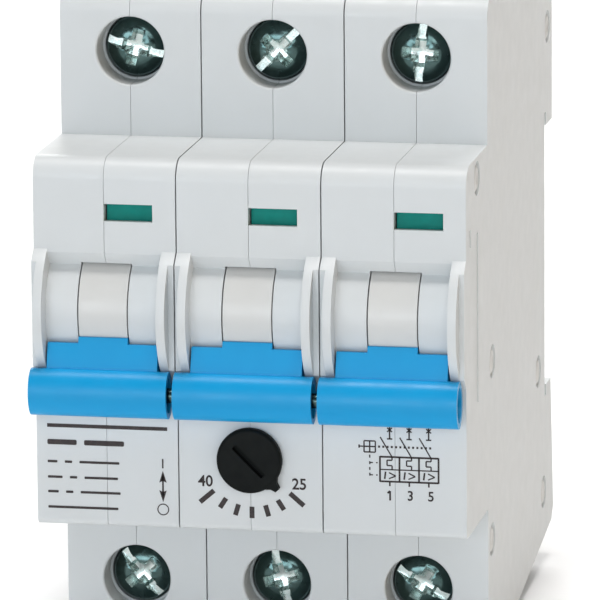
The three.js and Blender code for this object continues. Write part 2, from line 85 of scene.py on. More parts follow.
PIVOT_Y, PIVOT_Z = -54.4, 3.7
DRUM_R = 7.07
DRUM_HALF = 2.95
DRUM_GAP = 0.4                # between the drum's rim and the housing, the dark line above it
DRUM_EDGE = 0.12
AXLE_R, AXLE_END = 1.5, 5.0   # the drum's stub axles, and where they end from the pole's middle
AXLE_BORE_R, AXLE_BORE_END = 1.8, 5.4
NOTCH_R, NOTCH_DEG = 3.6, (204.5, 252.5)     # the seat in the drum for the toggle's tongue
TONGUE_R, TONGUE_DEG = 4.0, (207, 249.5)
CHEEK_IN = 3.1
CHEEK_SINK = 0.01             # the cheek's cylinder stays this far under the shell's own arc
EAR_IN, EAR_OUT, EAR_R = 6.95, 8.0, 9.5
PAD_PROUD = 1.45              # the flat pad outside each ear stands this far off the nose
RECESS_TOP, RECESS_LOW = 11.0, -6.6          # the handle recess on the nose's face
CHEEK_TOP_DEG, CHEEK_LOW_DEG = 127.5, 252.0
PADDLE_HALF = 6.72
PADDLE_GAP = 0.3              # from the drum's radius to the root of the paddle beside it
PADDLE_ROOT_DEG, MIDDLE_ROOT_DEG = (207.7, 246), (202, 246)
PADDLE_TOP, MIDDLE_TOP = (-61.47, 0.27), (-61.26, 0.98)
BAR_Y, BAR_Z, BAR_DEPTH, BAR_HEIGHT = -62.5, -5.5, 4.2, 5.7
BAR_LEFT, BAR_RIGHT = -8.55, 8.2             # the bar's ends, from the pole's middle
BAR_BACK = ((-60.7, -5.4), (BAR_Y, BAR_Z), (-62.3, -2.5))    # where the paddle runs into the bar
HOLLOW_WIDTH, HOLLOW_HEIGHT, HOLLOW_DEPTH = 2.9, 4.3, 1.8    # the hollows in the bar's ends
EAR_CLEAR = 0.35              # between the bar's cut-outs and the ears
PIN_R = 0.9
PIN_CLEAR = 0.12

SCREW_Z = 32.75
SCREW_HOLE_R = 4.15
SCREW_RIM = 0.3
COLLAR_R = 3.9
COLLAR_DROP = 1.5             # from the top of the screw's head down to the collar round it
HEAD_R = 3.78
HEAD_TOP_Y = -41.8
HEAD_BASE_Y = -38.5
SHANK_R = 1.7
SHANK_TIP_Y = -29.8
# the head's dome as (radius, drop below its top)
DOME = ((0, 0), (1.2, 0.05), (2.2, 0.22), (2.9, 0.5), (3.35, 0.86), (3.6, 1.25), (HEAD_R, 1.6))
THREAD_PITCH, THREAD_DEPTH = 0.8, 0.32
SLOT_HALF, SLOT_DEPTH = 0.48, 1.15
CROSS_REACH, CROSS_HALF, CROSS_FLOOR_HALF = 2.45, 0.72, 0.42
CROSS_DEPTH, CROSS_TAPER = 1.9, 0.55
RECESS_SKIN = 0.07            # faces this far below the dome belong to the slot and the cross, which get the painted highlight
HEAD_UNDERSIDE = 0.3          # faces this near the head's base don't
# each screw's turn, in degrees, from the left pole to the right
SLOT_DEG = {"line": (165, 225, 265), "load": (-50, -75, -30)}

# x0, x1, z0, z1, with x from the pole's middle
WINDOW = (-0.45, 5.9, 14.9, 17.0)
FLAG = (0.15, 6.2, 14.4, 20.1)
FLAG_SPLIT_Z = 17.25          # green below, red above
FLAG_ARM = (1, 2.2, 18.2, 20.1)
FLAG_SLOT = (-0.5, 6.8, 11.2, 20.6)
FLAG_FRONT, FLAG_BACK, FLAG_ARM_BACK = NOSE_Y + 1.1, NOSE_Y + 1.9, NOSE_Y + 5
DIAL_Z, DIAL_R, DIAL_PROUD = -13.5, 3.95, 1.3
DIAL_REST_DEG = -45.0
DIAL_EDGE_R = 0.45
DIAL_SHAFT_R, DIAL_BORE_R, DIAL_SHAFT_END = 2.2, 2.5, NOSE_Y + 4.6
DIAL_SLOT_HALF, DIAL_SLOT_WIDTH, DIAL_SLOT_DEPTH = 2.5, 0.72, 0.9
CAM_OFF, CAM_R, CAM_END = 0.8, 1.2, NOSE_Y + 7
TOOTH_ROOT, TOOTH_TIP_R = 3.3, 4.9
TOOTH_FOOT_DEG, TOOTH_TIP_DEG = 14.0, 3.3
CLIP_HALF = 3.7
CLIP_FRONT, CLIP_BACK, CLIP_RIB_BACK = 1.6, 4.4, 5.5
CLIP_SLOT_TOP = -16.0
WIRE_HALF, WIRE_FRONT, WIRE_BACK, WIRE_CORNER = 4.3, -28.2, -20.6, 0.8
TRIP_BAR_Y, TRIP_BAR_Z, TRIP_BAR_HOLE_R = -50.0, -8.0, 1.7
# (y, z) of the pins through the three poles
RIVETS = {
    "rivet_rear_top": (2.4, 29.0), "rivet_nose_top": (-52.0, 19.8), "rivet_middle": (-41.0, -4.8),
    "rivet_rear_low": (-5.2, -13.9), "rivet_shoulder_low": (-41.2, -26.9),
    "rivet_rear_bottom": (-0.9, -30.5),
}
RIVET_R, RIVET_HEAD_R, RIVET_HOLE_R = 1.2, 1.6, 1.5
RIVET_DISH_R, RIVET_DISH_DEPTH = 2.1, 0.42
RIDGES = ((-52.1, -51.75, -7.4, 13.3), (-57.3, -57.0, 12.4, 14.6))   # y0, y1, z0, z1 on the sides
# how far the shells' edges are rounded
SIDE_EDGE, POLE_EDGE, SEAM_EDGE, MARK_EDGE = 0.28, 0.05, 0.03, 0.03
FRONT_EDGE, REAR_EDGE = 0.18, 0.15
CAD_EDGE = 0.12               # and those of the inner pieces
INK_SPREAD = 1.3              # a printed stroke's width over its drawn width
PRINT_T = 0.03                # thickness of the printed marks
PRINT_LIFT = 0.004            # their backs stand this far off the nose
LETTER_TALL = 0.7             # a capital's height over the font's size
LETTER_BOLD = 0.022           # how far the letters are fattened, over their height
LETTER_SQUEEZE = 0.95

# the dial's scale: its ticks are (inner, outer) radii, seen from the dial's middle
SCALE_TICKS, SCALE_FROM_DEG, SCALE_TO_DEG = 7, -139.2, -40.8
SCALE_SHORT, SCALE_LONG, SCALE_SHIFT = (5.8, 7.2), (6.1, 8.35), 0.13
ARROWS_X = -10.7              # the on and off symbols and the arrows between them
BARS_LEFT, BARS_GAP = -24.8, 0.9
TEXT_BARS = (                 # z, letter height and the words' lengths
    (-12.2, 1.9, (3.6, 4.9)), (-14.6, 0.9, (1.2, 0.9, 4.9)), (-16.5, 0.9, (1.8, 0.9, 4.1)),
    (-18.3, 0.9, (1.3, 0.9, 4.9)), (-20.2, 0.9, (8.6,)),
)
GRID_LEFT, GRID_CELL = 15.68, 2.35           # the circuit diagram's boxes, a column for each pole
GRID_TOP, GRID_MIDDLE, GRID_LOW = -12.6, -14.15, -15.6
GRID_THICK, GRID_THIN = 0.17, 0.11
CONTACT_SHIFT = 0.62          # from a column's left, in cells, to the foot of its contact
NUMBER_LEFT, NUMBER_STEP, NUMBER_Z = 16.85, 2.48, -17.33
DOT_STEP, DOT_HALF, DOTS = 0.513, 0.12, 13
HAND_X, HAND_Z, HAND_HALF = 14.45, -11.4, 0.68     # the hand drive's symbol left of the diagram

# ---- floor, light and camera, in metres; angles in degrees, lens and sensor in mm ---------------
FLOOR_GAP, FLOOR_SIZE = 0.0006, 8
SKY_LEVEL = 0.13
CAMERA_PLACE = Vector((0.154915, -0.8266, 0.170143))
CAMERA_YAW, CAMERA_PITCH, CAMERA_ROLL = 10.981, 11.864, -0.466
CAMERA_LENS, CAMERA_SENSOR = 404.4, 36


# ---- mesh helpers -------------------------------------------------------------------------------
PLACE = {
    "X": lambda u, v, w: (w, u, v),     # outline in (y, z)
    "Y": lambda u, v, w: (u, w, v),     # outline in (x, z)
    "Z": lambda u, v, w: (u, v, w),     # outline in (x, y)
}


def arc(cu, cv, r, from_deg, to_deg, steps):
    turn = (to_deg - from_deg) / steps
    return [(cu + r * math.cos(math.radians(from_deg + turn * i)),
             cv + r * math.sin(math.radians(from_deg + turn * i))) for i in range(steps + 1)]


def circle(cu, cv, r, steps):
    return arc(cu, cv, r, 0, 360 - 360 / steps, steps - 1)


def ellipse(cu, cv, width, height, steps):
    return [(cu + width / 2 * math.cos(math.tau * i / steps),
             cv + height / 2 * math.sin(math.tau * i / steps)) for i in range(steps)]


def rectangle(u0, u1, v0, v1):
    return [(u0, v0), (u1, v0), (u1, v1), (u0, v1)]


def rounded(u0, u1, v0, v1, r, steps=5):
    return (arc(u1 - r, v0 + r, r, -90, 0, steps) + arc(u1 - r, v1 - r, r, 0, 90, steps)
            + arc(u0 + r, v1 - r, r, 90, 180, steps) + arc(u0 + r, v0 + r, r, 180, 270, steps))


def make(name, bm, material=None):
    bmesh.ops.recalc_face_normals(bm, faces=bm.faces)
    bm.transform(Matrix.Scale(MM, 4))
    mesh = bpy.data.meshes.new(name)
    bm.to_mesh(mesh)
    bm.free()
    obj = bpy.data.objects.new(name, mesh)
    bpy.context.scene.collection.objects.link(obj)
    if material:
        mesh.materials.append(material)
    return obj


def add_prism(bm, outline, axis, low, high):
    place = PLACE[axis]
    ends = [[bm.verts.new(place(u, v, w)) for u, v in outline] for w in (low, high)]
    bm.faces.new(ends[0])
    bm.faces.new(ends[1])
    for i in range(len(outline)):
        j = (i + 1) % len(outline)
        bm.faces.new((ends[0][i], ends[0][j], ends[1][j], ends[1][i]))


def prism(name, outline, axis, low, high, material=None):
    bm = bmesh.new()
    add_prism(bm, outline, axis, min(low, high), max(low, high))
    return make(name, bm, material)


def add_lathe(bm, profile, steps, centre, axis="Y"):
    """Turns (radius, distance along the axis) points; a radius of 0 closes the end."""
    place = PLACE[axis]
    rings = []
    for r, t in profile:
        if r == 0:
            rings.append([bm.verts.new(place(centre[0], centre[1], t))])
        else:
            rings.append([bm.verts.new(place(u, v, t)) for u, v in circle(*centre, r, steps)])
    pairs = list(zip(rings, rings[1:]))
    if profile[0][0] != 0:
        pairs.append((rings[-1], rings[0]))
    for a, b in pairs:
        for i in range(steps):
            j = (i + 1) % steps
            loop = [a[i % len(a)], a[j % len(a)], b[j % len(b)], b[i % len(b)]]
            loop = [v for k, v in enumerate(loop) if v not in loop[:k]]
            if len(loop) > 2:
                bm.faces.new(loop)


def lathe(name, profile, steps, centre=(0, 0), axis="Y", material=None):
    bm = bmesh.new()
    add_lathe(bm, profile, steps, centre, axis)
    return make(name, bm, material)


def bake(obj):
    """Makes the modifiers' result the object's own mesh."""
    bpy.context.view_layer.update()
    graph = bpy.context.evaluated_depsgraph_get()
    mesh = bpy.data.meshes.new_from_object(obj.evaluated_get(graph))
    obj.modifiers.clear()
    obj.data = mesh
    return obj


def combine(obj, tools, operation):
    """Boolean of the object with each tool in turn; the tools are used up."""
    for tool in tools:
        step = obj.modifiers.new("combine", "BOOLEAN")
        step.object, step.operation, step.solver = tool, operation, "EXACT"
        tool.hide_render = True
    bake(obj)
    for tool in tools:
        bpy.data.objects.remove(tool)
    return obj


def cut(obj, *tools):
    return combine(obj, tools, "DIFFERENCE")


def join(obj, *tools):
    return combine(obj, tools, "UNION")


def soften(obj, width, segments=3, limit_deg=28, width_at=None):
    """Rounds the sharp edges. width_at gives an edge's own width in mm from its midpoint.

    Flat faces are merged first, but not across two materials: a flag keeps its two colours.
    """
    mesh = obj.data
    bm = bmesh.new()
    bm.from_mesh(mesh)
    bmesh.ops.remove_doubles(bm, verts=bm.verts, dist=2e-6)
    bmesh.ops.dissolve_limit(bm, angle_limit=math.radians(0.5), verts=bm.verts, edges=bm.edges,
                             delimit={"MATERIAL"})
    layer = bm.edges.layers.float.new("bevel_weight_edge")
    for edge in bm.edges:
        if len(edge.link_faces) == 2 and edge.calc_face_angle() > math.radians(limit_deg):
            middle = (edge.verts[0].co + edge.verts[1].co) / 2 / MM
            edge[layer] = (width_at(middle) if width_at else width) / width
    bm.to_mesh(mesh)
    bm.free()
    step = obj.modifiers.new("soften", "BEVEL")
    step.limit_method, step.width, step.segments = "WEIGHT", width * MM, segments
    step.use_clamp_overlap, step.harden_normals = True, False
    bake(obj)
    return shade(obj)


def shade(obj):
    obj.data.shade_smooth()
    obj.data.set_sharp_from_angle(angle=math.radians(40))
    step = obj.modifiers.new("normals", "WEIGHTED_NORMAL")
    step.keep_sharp = True
    return obj


def place_piece(obj, body, slot, *nodes):
    """Hangs the piece on a body, in place of these CAD nodes; the slot argument is not used."""
    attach(obj, body)
    if nodes:
        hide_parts(*nodes)
    return obj


# ---- materials ----------------------------------------------------------------------------------
EVEN = (1, 1, 1)


class Shader:
    """A Principled material with short calls for its procedural inputs."""

    def __init__(self, name, colour, roughness, metallic=0.0):
        self.material = bpy.data.materials.new(name)
        self.material.use_nodes = True
        self.tree = self.material.node_tree
        self.surface = self.tree.nodes["Principled BSDF"]
        self.colour = colour
        self.set("Base Color", (*colour, 1))
        self.set("Roughness", roughness)
        self.set("Metallic", metallic)
        self.where = self.node("ShaderNodeTexCoord").outputs["Object"]

    def node(self, kind, **inputs):
        made = self.tree.nodes.new(kind)
        for key, value in inputs.items():
            self.feed(made.inputs[key.replace("_", " ")], value)
        return made

    def feed(self, socket, value):
        if isinstance(value, bpy.types.NodeSocket):
            self.tree.links.new(value, socket)
        else:
            socket.default_value = value

    def set(self, name, value):
        self.feed(self.surface.inputs[name], value)

    def noise(self, scale, detail=3.0, stretch=EVEN):
        where = self.node("ShaderNodeMapping", Vector=self.where, Scale=stretch).outputs["Vector"]
        return self.node("ShaderNodeTexNoise", Vector=where, Scale=scale, Detail=detail).outputs["Fac"]

    def remap(self, value, from_low, from_high, to_low, to_high):
        made = self.node("ShaderNodeMapRange", Value=value)
        for key, number in (("From Min", from_low), ("From Max", from_high),
                            ("To Min", to_low), ("To Max", to_high)):
            made.inputs[key].default_value = number
        return made.outputs["Result"]

    def blend(self, factor, first, second):
        made = self.tree.nodes.new("ShaderNodeMix")
        made.data_type = "RGBA"
        factor_in, first_in, second_in = 0, 6, 7     # the node's sockets for colours
        for key, value in ((factor_in, factor), (first_in, first), (second_in, second)):
            value = (*value, 1) if isinstance(value, tuple) and len(value) == 3 else value
            self.feed(made.inputs[key], value)
        return made.outputs[2]

    def mottle(self, scale, amount, tint=(0.5, 0.5, 0.5)):
        """Slow colour variation between the colour and a slightly different tint of it."""
        other = tuple(c * (1 - amount) + t * c * amount for c, t in zip(self.colour, tint))
        factor = self.remap(self.noise(scale), 0.35, 0.65, 0, 1)
        self.set("Base Color", self.blend(factor, self.colour, other))
        return self

    def uneven(self, scale, low, high, stretch=EVEN):
        self.set("Roughness", self.remap(self.noise(scale, stretch=stretch), 0.3, 0.7, low, high))
        return self

    def bump(self, *layers, distance=0.02):
        """layers are (scale, strength, stretch); distance in millimetres."""
        normal = None
        for scale, strength, stretch in layers:
            made = self.node("ShaderNodeBump", Height=self.noise(scale, 2.0, stretch))
            made.inputs["Strength"].default_value = strength
            made.inputs["Distance"].default_value = distance * MM
            if normal:
                self.feed(made.inputs["Normal"], normal)
            normal = made.outputs["Normal"]
        self.set("Normal", normal)
        return self


def housing_plastic():
    housing = Shader("housing_plastic", (0.66, 0.69, 0.70), 0.42)
    housing.mottle(160, 0.06, (0.9, 0.86, 0.78)).uneven(420, 0.36, 0.5)
    housing.bump((2600, 0.35, EVEN), (700, 0.25, EVEN), distance=0.01)
    housing.set("Specular IOR Level", 0.45)
    housing.set("Subsurface Weight", 0.04)
    housing.set("Subsurface Radius", (0.6, 0.55, 0.5))
    housing.set("Subsurface Scale", 0.0008)
    return housing.material


def drum_plastic():
    drum = Shader("drum_plastic", (0.66, 0.665, 0.65), 0.38)
    drum.mottle(240, 0.04, (0.95, 0.92, 0.88)).uneven(600, 0.28, 0.42)
    drum.bump((3200, 0.2, EVEN), (500, 0.15, (1, 4, 4)), distance=0.008)
    return drum.material


def toggle_plastic():
    blue = Shader("toggle_plastic", (0.005, 0.325, 0.66), 0.42)
    blue.set("Specular IOR Level", 0.28)
    blue.mottle(300, 0.22, (0.7, 0.86, 0.93)).uneven(500, 0.3, 0.44)
    blue.bump((2200, 0.35, EVEN), (420, 0.3, (0.5, 1, 1)), distance=0.012)
    return blue.material


def flag_plastic(key, colour):
    flag = Shader(key, colour, 0.5)
    flag.set("Specular IOR Level", 0.15)
    flag.mottle(900, 0.35, (0.6, 0.7, 0.7)).uneven(800, 0.42, 0.6)
    flag.bump((3000, 0.3, EVEN), distance=0.01)
    return flag.material


def dial_plastic():
    dial = Shader("dial_plastic", (0.0055, 0.007, 0.007), 0.55)
    dial.set("Specular IOR Level", 0.1)
    dial.mottle(500, 0.4, (1.8, 1.7, 1.5)).uneven(700, 0.48, 0.64)
    dial.bump((2400, 0.5, EVEN), (600, 0.25, EVEN), distance=0.012)
    return dial.material


def print_ink():
    ink = Shader("print_ink", (0.022, 0.017, 0.017), 0.6)
    ink.mottle(2500, 0.5, (2.2, 1.6, 1.6)).uneven(1500, 0.5, 0.7)
    return ink.material


def clip_plastic():
    clip = Shader("clip_plastic", (0.10, 0.105, 0.11), 0.48)
    clip.mottle(300, 0.2, (1.3, 1.3, 1.3)).uneven(500, 0.4, 0.58)
    clip.bump((2200, 0.4, EVEN), distance=0.012)
    return clip.material


# a bright copy of the screws' nickel, put on the slot and the cross: a painted highlight on their
# facets
def recess_painted_highlight():
    recess = Shader("recess_painted_highlight", (0.66, 0.72, 0.70), 0.2, 1.0)
    recess.mottle(1500, 0.5, (0.5, 0.68, 0.66)).uneven(1800, 0.12, 0.34)
    recess.bump((2600, 0.6, EVEN), (6000, 0.3, EVEN), distance=0.012)
    return recess.material


# the nickel of the screws and the tie pin, its colour darkened far below bare nickel: a painted dark
# reflection on the dome
def nickel_painted_dark_reflection():
    nickel = Shader("nickel_painted_dark_reflection", (0.085, 0.135, 0.13), 0.15, 1.0)
    nickel.mottle(700, 0.45, (0.45, 0.62, 0.6)).uneven(1300, 0.10, 0.28)
    nickel.bump((1800, 0.35, (1, 1, 0.2)), (5200, 0.2, EVEN), distance=0.008)
    return nickel.material


def zinc_steel():
    steel = Shader("zinc_steel", (0.50, 0.51, 0.50), 0.34, 1.0)
    steel.mottle(350, 0.3, (0.75, 0.78, 0.8)).uneven(900, 0.25, 0.48, (1, 1, 5))
    steel.bump((1600, 0.4, (1, 1, 6)), distance=0.01)
    return steel.material


def rivet_steel():
    rivet = Shader("rivet_steel", (0.66, 0.66, 0.64), 0.36, 0.4)
    rivet.mottle(600, 0.25, (0.8, 0.8, 0.8)).uneven(1200, 0.38, 0.52)
    rivet.bump((2500, 0.4, EVEN), distance=0.01)
    return rivet.material


def copper_strip():
    copper = Shader("copper_strip", (0.70, 0.33, 0.19), 0.32, 1.0)
    copper.mottle(260, 0.45, (0.62, 0.5, 0.45)).uneven(700, 0.24, 0.46, (1, 4, 1))
    copper.bump((1500, 0.35, (6, 1, 1)), distance=0.01)
    return copper.material


def winding_copper():
    coil = Shader("winding_copper", (0.48, 0.17, 0.07), 0.28, 0.85)
    coil.mottle(500, 0.3, (0.7, 0.6, 0.5)).uneven(900, 0.2, 0.36)
    coil.bump((900, 0.6, (0.2, 0.2, 4)), distance=0.05)
    return coil.material


def bimetal_sheet():
    bimetal = Shader("bimetal_sheet", (0.50, 0.47, 0.42), 0.33, 1.0)
    bimetal.mottle(420, 0.3, (0.8, 0.72, 0.62)).uneven(800, 0.25, 0.42)
    bimetal.bump((1500, 0.3, (5, 1, 1)), distance=0.01)
    return bimetal.material


MATERIAL = {
    "housing": housing_plastic(),
    "drum": drum_plastic(),
    "toggle": toggle_plastic(),
    "flag_green": flag_plastic("flag_green", (0.003, 0.235, 0.195)),
    "flag_red": flag_plastic("flag_red", (0.5, 0.02, 0.015)),
    "dial": dial_plastic(),
    "ink": print_ink(),
    "clip": clip_plastic(),
    "recess_painted_highlight": recess_painted_highlight(),
    "screw": nickel_painted_dark_reflection(),
    "steel": zinc_steel(),
    "rivet": rivet_steel(),
    "copper": copper_strip(),
    "coil": winding_copper(),
    "bimetal": bimetal_sheet(),
}


# ---- housing shells -----------------------------------------------------------------------------
def housing_outline(front):
    """The side view of the housing; front holds the points of the nose's face from its top down."""
    return [
        (LATCH_BACK - 2.2, HOOK_LOW_Z), (RAIL_LIP, HOOK_LOW_Z), (RAIL_LIP, -UNDERCUT),
        (0, -UNDERCUT), (0, UNDERCUT), (RAIL_LIP, UNDERCUT), (RAIL_LIP, HOOK_TOP_Z),
        (HOOK_BACK, HOOK_TOP_Z), (HOOK_BACK, HALF_HEIGHT),
        *arc(SHOULDER_Y + EDGE_R, HALF_HEIGHT - EDGE_R, EDGE_R, 90, 180, 12),
        (SHOULDER_Y, NOSE_HALF),
        *arc(NOSE_Y + EDGE_R, NOSE_HALF - EDGE_R, EDGE_R, 90, 180, 12),
        *front,
        *arc(NOSE_Y + SMALL_R, -NOSE_HALF + SMALL_R, SMALL_R, 180, 270, 6),
        (SHOULDER_Y, -NOSE_HALF),
        *arc(SHOULDER_Y + SMALL_R, -HALF_HEIGHT + SMALL_R, SMALL_R, 180, 270, 6),
        (-23, -HALF_HEIGHT), (LATCH_BACK - 1.5, -35.6), (LATCH_BACK, -34),
    ]


def inside_outline():
    back, low = SHOULDER_Y + SHOULDER_WALL, HALF_HEIGHT - WALL
    nose, front = NOSE_HALF - WALL, NOSE_Y + WALL
    return [(front, -nose), (back, -nose), (back, -low), (-22, -low), (-WALL, -34.6), (-WALL, low),
            (back, low), (back, nose), (front, nose)]


def recess_front():
    """The handle recess: a sloped lip above, the round cheek, and a sloped lip below."""
    return [(NOSE_Y, RECESS_TOP), *arc(PIVOT_Y, PIVOT_Z, DRUM_R, CHEEK_TOP_DEG, CHEEK_LOW_DEG, 48),
            (NOSE_Y, RECESS_LOW)]


def ear_half_angle(proud):
    return math.degrees(math.acos((PIVOT_Y - NOSE_Y + proud) / EAR_R))


def ear_front():
    meet = ear_half_angle(0)
    return arc(PIVOT_Y, PIVOT_Z, EAR_R, 180 - meet, 180 + meet, 40)


def pad_front():
    """The pad outside the ear: the ear's own arc, cut flat."""
    meet, flat = ear_half_angle(0), ear_half_angle(PAD_PROUD)
    return [*arc(PIVOT_Y, PIVOT_Z, EAR_R, 180 - meet, 180 - flat, 6),
            *arc(PIVOT_Y, PIVOT_Z, EAR_R, 180 + flat, 180 + meet, 6)]


def screw_hole_profile():
    """The hole in the shoulder: a rounded rim, a straight wall and a collar round the head."""
    rim = arc(SCREW_HOLE_R + SCREW_RIM, SHOULDER_Y + SCREW_RIM, SCREW_RIM, 180, 270, 8)
    inner, collar = SHOULDER_Y + SHOULDER_WALL + 1, HEAD_TOP_Y + COLLAR_DROP
    wide = SCREW_HOLE_R + SCREW_RIM
    return [(0, inner), (COLLAR_R, inner), (COLLAR_R, collar), (SCREW_HOLE_R, collar - 0.25), *rim,
            (wide, SHOULDER_Y - 2), (0, SHOULDER_Y - 2)]


def hinge_cutters(x, side):
    """The room for the drum and the bore of its axle."""
    return [
        prism("t", circle(PIVOT_Y, PIVOT_Z, DRUM_R + DRUM_GAP, 96), "X", x - side, x + side * CHEEK_IN),
        prism("t", circle(PIVOT_Y, PIVOT_Z, AXLE_BORE_R, 24), "X", x - side, x + side * AXLE_BORE_END),
    ]


def clip_cutter(x):
    half = CLIP_HALF + CLEAR
    channel = rectangle(x - half, x + half, RAIL_LIP, LATCH_BACK + 2)
    return prism("t", channel, "Z", -HALF_HEIGHT - 10, CLIP_SLOT_TOP)


def terminal_cutters(x, end):
    """The screw's hole in the shoulder and the wire's entry behind it."""
    entry = rounded(x - WIRE_HALF, x + WIRE_HALF, WIRE_FRONT, WIRE_BACK, WIRE_CORNER)
    return [
        lathe("t", screw_hole_profile(), 72, (x, end * SCREW_Z)),
        prism("t", entry, "Z", end * (HALF_HEIGHT - 3), end * (HALF_HEIGHT + 1)),
    ]


def window_cutters(x):
    """The window in the nose and the slot behind it, where the flag slides."""
    back = NOSE_Y + 3
    openings = ((WINDOW, NOSE_Y - 1), (FLAG_SLOT, NOSE_Y + 0.8))
    return [prism("t", rectangle(x + x0, x + x1, z0, z1), "Y", front, back)
            for (x0, x1, z0, z1), front in openings]


def rivet_cutters(x, side, outer, outermost):
    tools = []
    for y, z in RIVETS.values():
        tools.append(prism("t", circle(y, z, RIVET_HOLE_R, 20), "X", x - side, x + outer + side))
        if outermost:
            tools.append(prism("t", circle(y, z, RIVET_DISH_R, 40), "X",
                               x + outer - side * RIVET_DISH_DEPTH, x + outer + side))
    return tools


def shell_cutters(x, side, outer, outermost, has_dial):
    tools = [*hinge_cutters(x, side), clip_cutter(x),
             *terminal_cutters(x, -1), *terminal_cutters(x, 1)]
    if side > 0:
        tools += window_cutters(x)
    if has_dial:
        tools.append(prism("t", circle(x, DIAL_Z, DIAL_BORE_R, 40), "Y", NOSE_Y - 1, NOSE_Y + 4))
    if not outermost:
        inner_wall = side * (PITCH / 2 - WALL)
        hole = circle(TRIP_BAR_Y, TRIP_BAR_Z, TRIP_BAR_HOLE_R, 24)
        tools.append(prism("t", hole, "X", x + inner_wall - side, x + outer + side))
    return tools + rivet_cutters(x, side, outer, outermost)


def near_side_mark(point):
    """True for a point of a side face that lies by a ridge or a rivet's dish."""
    by_ridge = any(y0 - 0.1 < point.y < y1 + 0.1 and z0 - 0.1 < point.z < z1 + 0.1
                   for y0, y1, z0, z1 in RIDGES)
    return by_ridge or any(math.hypot(point.y - y, point.z - z) < RIVET_DISH_R + 0.1
                           for y, z in RIVETS.values())


def shell(index, side, name):
    """A half shell: the nose with its recess, the ear and the pad side by side, then hollowed."""
    x = POLE_X[index]
    outermost = x * side > PITCH / 2
    outer = side * (OUTER_WALL if outermost else POLE_FACE)
    seam = side * SEAM
    inner_wall = side * (PITCH / 2 - WALL)
    body = prism(name, housing_outline(recess_front()), "X", x + seam, x + side * EAR_IN,
                 MATERIAL["housing"])
    join(body,
         prism("t", housing_outline(ear_front()), "X", x + side * EAR_IN, x + side * EAR_OUT),
         prism("t", housing_outline(pad_front()), "X", x + side * EAR_OUT, x + outer))
    cut(body, prism("t", inside_outline(), "X", x - side, x + inner_wall))
    join(body, prism("t", circle(PIVOT_Y, PIVOT_Z, DRUM_R - CHEEK_SINK, 96), "X",
                     x + side * CHEEK_IN, x + inner_wall + side * 0.2))
    cut(body, *shell_cutters(x, side, outer, outermost, index == 1))
    if outermost:
        join(body, *[prism("t", rounded(*ridge, 0.12, 3), "X", x + outer - side * 0.2,
                           side * (PITCH * 1.5 - 0.01)) for ridge in RIDGES])

    def edge_width(middle):
        off = abs(middle.x - x)
        if off < 0.3:
            return SEAM_EDGE
        if off > EAR_OUT + 0.2:
            wide = MARK_EDGE if near_side_mark(middle) else SIDE_EDGE
            return wide if outermost else POLE_EDGE
        return REAR_EDGE if middle.y > -40 else FRONT_EDGE

    soften(body, SIDE_EDGE, 3, 25, edge_width)
    return place_piece(body, "housing", "housing", name)


# ---- toggles ------------------------------------------------------------------------------------
def sector(r0, r1, from_deg, to_deg, steps):
    return (arc(PIVOT_Y, PIVOT_Z, r1, from_deg, to_deg, steps)
            + arc(PIVOT_Y, PIVOT_Z, r0, to_deg, from_deg, steps))


def toggle(index):
    """The paddle springs from the drum, its middle a little higher, and carries the grip bar."""
    x = POLE_X[index]
    name = f"toggle_{index + 1}"
    root = DRUM_R + PADDLE_GAP
    paddle = [*arc(PIVOT_Y, PIVOT_Z, root, *PADDLE_ROOT_DEG, 16), *BAR_BACK, PADDLE_TOP]
    middle = [*arc(PIVOT_Y, PIVOT_Z, DRUM_R + 0.03, *MIDDLE_ROOT_DEG, 20), *BAR_BACK, MIDDLE_TOP]
    tongue = sector(TONGUE_R, root + 0.3, *TONGUE_DEG, 16)
    lever = prism(name, ellipse(BAR_Y, BAR_Z, BAR_DEPTH, BAR_HEIGHT, 72), "X",
                  x + BAR_LEFT, x + BAR_RIGHT, MATERIAL["toggle"])
    join(lever,
         prism("t", paddle, "X", x - PADDLE_HALF, x + PADDLE_HALF),
         prism("t", middle, "X", x - DRUM_HALF - 0.05, x + DRUM_HALF + 0.05),
         prism("t", tongue, "X", x - DRUM_HALF + 0.1, x + DRUM_HALF - 0.1))
    tools = [prism("t", circle(BAR_Y, BAR_Z, PIN_R + PIN_CLEAR, 24), "X", x - 10, x + 10)]
    hollow = ellipse(BAR_Y - 0.1, BAR_Z, HOLLOW_WIDTH, HOLLOW_HEIGHT, 48)
    for side, end in ((-1, x + BAR_LEFT), (1, x + BAR_RIGHT)):
        tools.append(prism("t", circle(PIVOT_Y, PIVOT_Z, EAR_R + EAR_CLEAR, 120), "X",
                           x + side * (PADDLE_HALF + 0.05), end + side))
        tools.append(prism("t", hollow, "X", end - side * HOLLOW_DEPTH, end + side))
    cut(lever, *tools)
    soften(lever, 0.2, 3, 28)
    return place_piece(lever, "handle", "toggle", name)


def toggle_drum(index):
    """The round hub between the cheeks, notched for the toggle's tongue, on two stub axles."""
    x = POLE_X[index]
    name = f"toggle_drum_{index + 1}"
    drum = prism(name, circle(PIVOT_Y, PIVOT_Z, DRUM_R, 128), "X", x - DRUM_HALF, x + DRUM_HALF,
                 MATERIAL["drum"])
    cut(drum, prism("t", sector(NOTCH_R, DRUM_R + 2, *NOTCH_DEG, 24), "X", x - 4, x + 4))
    join(drum, prism("t", circle(PIVOT_Y, PIVOT_Z, AXLE_R, 32), "X", x - AXLE_END, x + AXLE_END))
    soften(drum, DRUM_EDGE, 3, 28)
    return place_piece(drum, "handle", "drum", name)


def tie_pin():
    """The pin that ties the three bars, as long as its CAD node."""
    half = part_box("handle_tie_pin")[1].x / MM
    pin = prism("handle_tie_pin", circle(BAR_Y, BAR_Z, PIN_R, 32), "X", -half, half, MATERIAL["screw"])
    soften(pin, 0.2, 3)
    return place_piece(pin, "handle", "screw", "handle_tie_pin")


